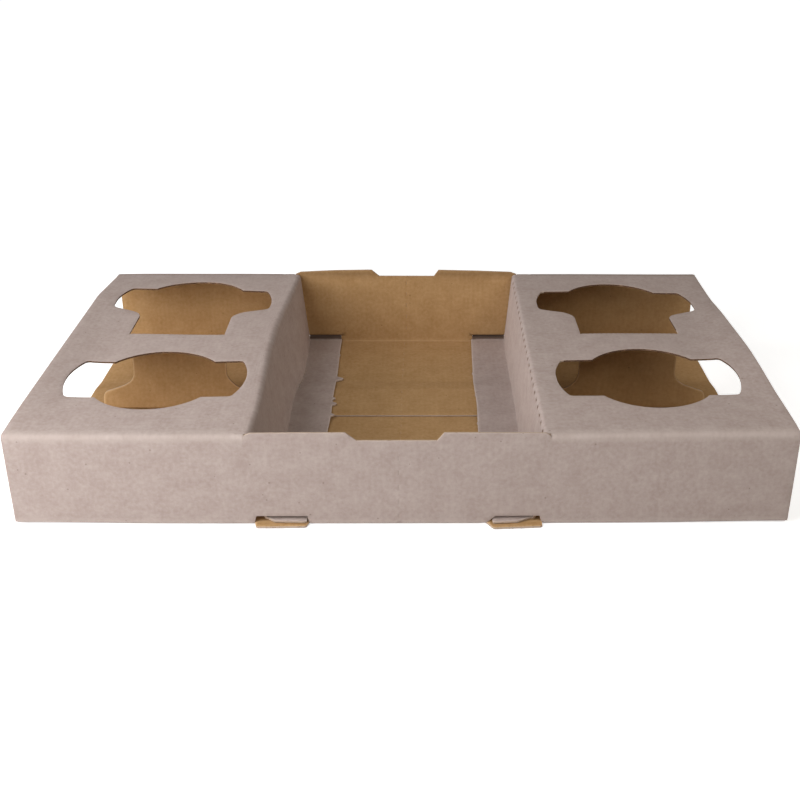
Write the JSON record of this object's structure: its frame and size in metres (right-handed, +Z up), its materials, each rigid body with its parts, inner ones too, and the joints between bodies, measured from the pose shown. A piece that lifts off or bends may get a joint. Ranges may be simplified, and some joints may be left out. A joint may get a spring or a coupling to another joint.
{
  "type": "cardboard cup carrier",
  "caption": "Die-cut corrugated board folded into a flat open-ended sleeve, with cup holes at both sides of an open middle compartment.",
  "frame": {"origin": "middle of the base, on the surface that the carrier stands on", "axes": "+X along the sleeve, from its left open end to its right one; +Y from the front wall to the back wall; +Z up"},
  "size_m": [0.42, 0.2476, 0.0611],
  "materials": {
    "board": "uncoated corrugated board, pinkish grey liner outside and brown kraft liner inside"
  },
  "bodies": {
    "root": {"cup_carrier": "board"}
  },
  "joints": []
}
